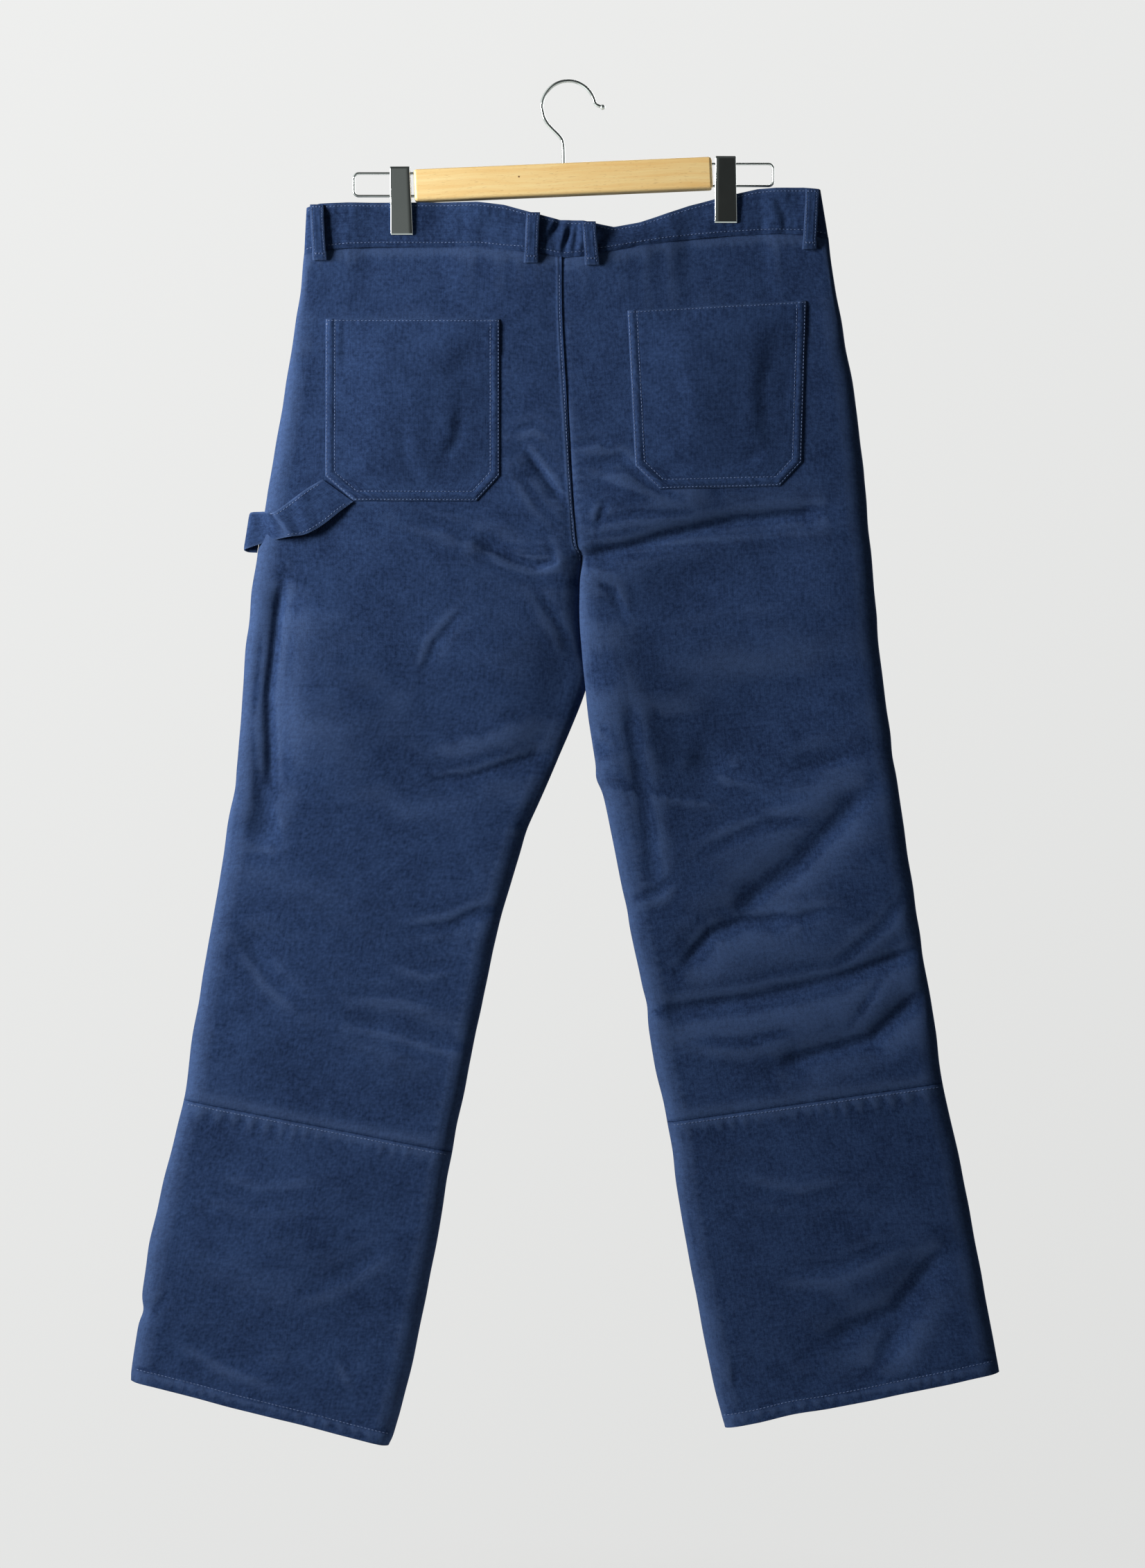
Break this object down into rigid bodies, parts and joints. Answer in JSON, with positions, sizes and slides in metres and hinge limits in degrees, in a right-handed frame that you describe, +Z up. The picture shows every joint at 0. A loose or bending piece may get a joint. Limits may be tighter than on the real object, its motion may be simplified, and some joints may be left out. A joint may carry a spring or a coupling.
{
  "type": "straight trousers on a clip hanger",
  "caption": "Straight work trousers with patch pockets and a hammer loop, hung by the waistband from a wooden hanger with metal clips.",
  "frame": {"origin": "inside of the hook's top, where a rail carries the hanger", "axes": "+Z up, +X to the wearer's right, -Y out of the trousers' back"},
  "size_m": [0.7898, 0.0345, 1.2415],
  "materials": {
    "navy_twill": "washed cotton twill",
    "navy_strap": "washed cotton twill, doubled",
    "dark_button": "satin",
    "beech": "clear lacquer",
    "chrome": "bright plated"
  },
  "bodies": {
    "root": {"back_left_hip": "navy_twill", "back_left_thigh": "navy_twill", "back_left_knee": "navy_twill", "back_left_calf": "navy_twill", "back_right_hip": "navy_twill", "back_right_thigh": "navy_twill", "back_right_knee": "navy_twill", "back_right_calf": "navy_twill", "front_left_hip": "navy_twill", "front_left_thigh": "navy_twill", "front_left_knee": "navy_twill", "front_left_calf": "navy_twill", "front_right_hip": "navy_twill", "front_right_thigh": "navy_twill", "front_right_knee": "navy_twill", "front_right_calf": "navy_twill", "waistband": "navy_twill", "waistband_lap": "navy_twill", "pocket_left": "navy_twill", "pocket_right": "navy_twill", "fly": "navy_twill", "hammer_loop": "navy_strap", "belt_loop_left_side": "navy_strap", "belt_loop_left_back": "navy_strap", "belt_loop_right_back": "navy_strap", "belt_loop_right_side": "navy_strap", "belt_loop_left_front": "navy_strap", "belt_loop_right_front": "navy_strap", "waist_button": "dark_button", "hanger_bar": "beech", "hanger_hook": "chrome", "hanger_wire_left": "chrome", "hanger_wire_right": "chrome", "clip_left_back": "chrome", "clip_left_front": "chrome", "clip_right_back": "chrome", "clip_right_front": "chrome"}
  },
  "joints": []
}
